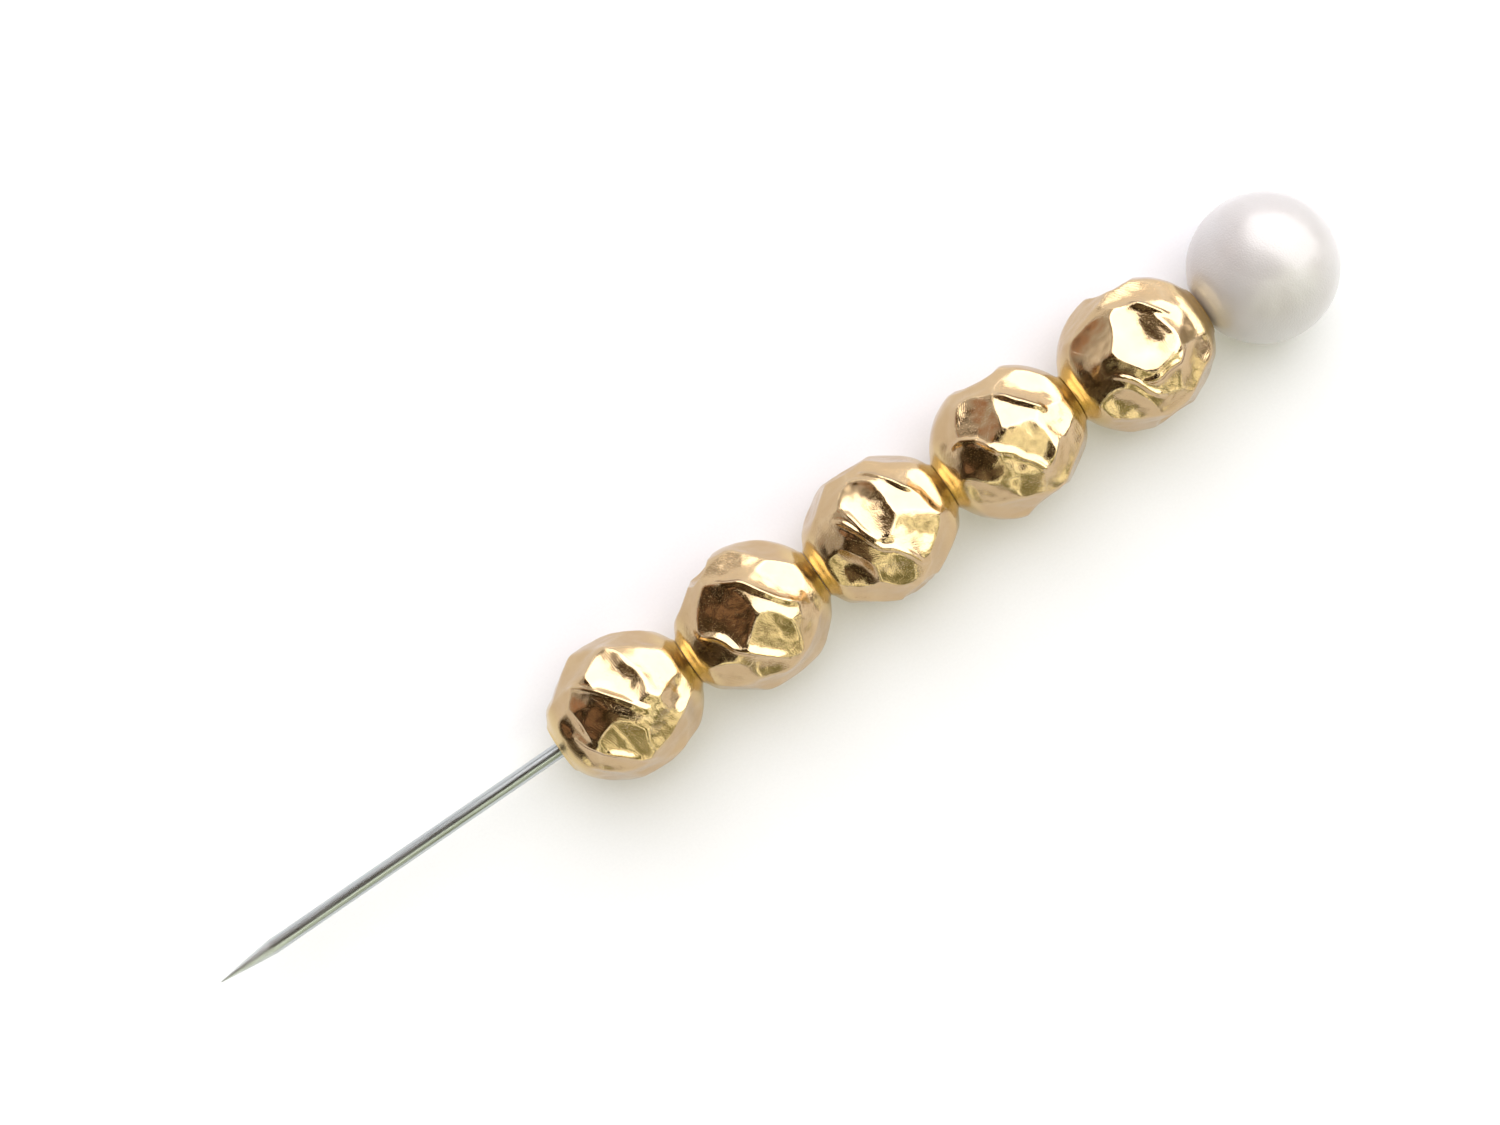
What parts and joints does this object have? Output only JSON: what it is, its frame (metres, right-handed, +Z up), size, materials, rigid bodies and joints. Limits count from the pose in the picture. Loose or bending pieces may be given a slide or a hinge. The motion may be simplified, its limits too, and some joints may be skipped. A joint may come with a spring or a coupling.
{
  "type": "hat pin",
  "caption": "Straight steel pin with a ground point, a stack of gold-tone hollowed nugget beads and a pearl head, for holding a hat, scarf or corsage.",
  "frame": {"origin": "on the surface that the pin lies on, halfway along the pin, straight below the shaft's axis", "axes": "+X along the shaft from the ground point to the pearl head, +Y across the pin, +Z up from the surface; the shaft's axis is 3.0 mm above the surface"},
  "size_m": [0.0526, 0.006, 0.006],
  "materials": {
    "steel": "drawn wire, bright, with a ground point",
    "gold": "pale gold plate, polished, with fine file marks in the hollows",
    "pearl": "pearl lacquer, satin, with fine mica grain",
    "glue": "clear jeweller's adhesive"
  },
  "bodies": {
    "pin": {"pin_shaft": "steel", "pearl_head": "pearl", "pearl_adhesive": "glue", "nugget_bead_1": "gold", "stop_bead_adhesive": "glue"},
    "bead_2": {"nugget_bead_2": "gold"},
    "bead_3": {"nugget_bead_3": "gold"},
    "bead_4": {"nugget_bead_4": "gold"},
    "bead_5": {"nugget_bead_5": "gold"}
  },
  "joints": [
    {"name": "bead_2_spin", "type": "hinge", "parent": "pin", "child": "bead_2", "pos_m": [-0.00099, 0, 0.003], "axis": [1, 0, 0], "continuous": true},
    {"name": "bead_3_spin", "type": "hinge", "parent": "pin", "child": "bead_3", "pos_m": [0.00509, 0, 0.003], "axis": [1, 0, 0], "continuous": true},
    {"name": "bead_4_spin", "type": "hinge", "parent": "pin", "child": "bead_4", "pos_m": [0.01117, 0, 0.003], "axis": [1, 0, 0], "continuous": true},
    {"name": "bead_5_spin", "type": "hinge", "parent": "pin", "child": "bead_5", "pos_m": [0.01725, 0, 0.003], "axis": [1, 0, 0], "continuous": true}
  ]
}
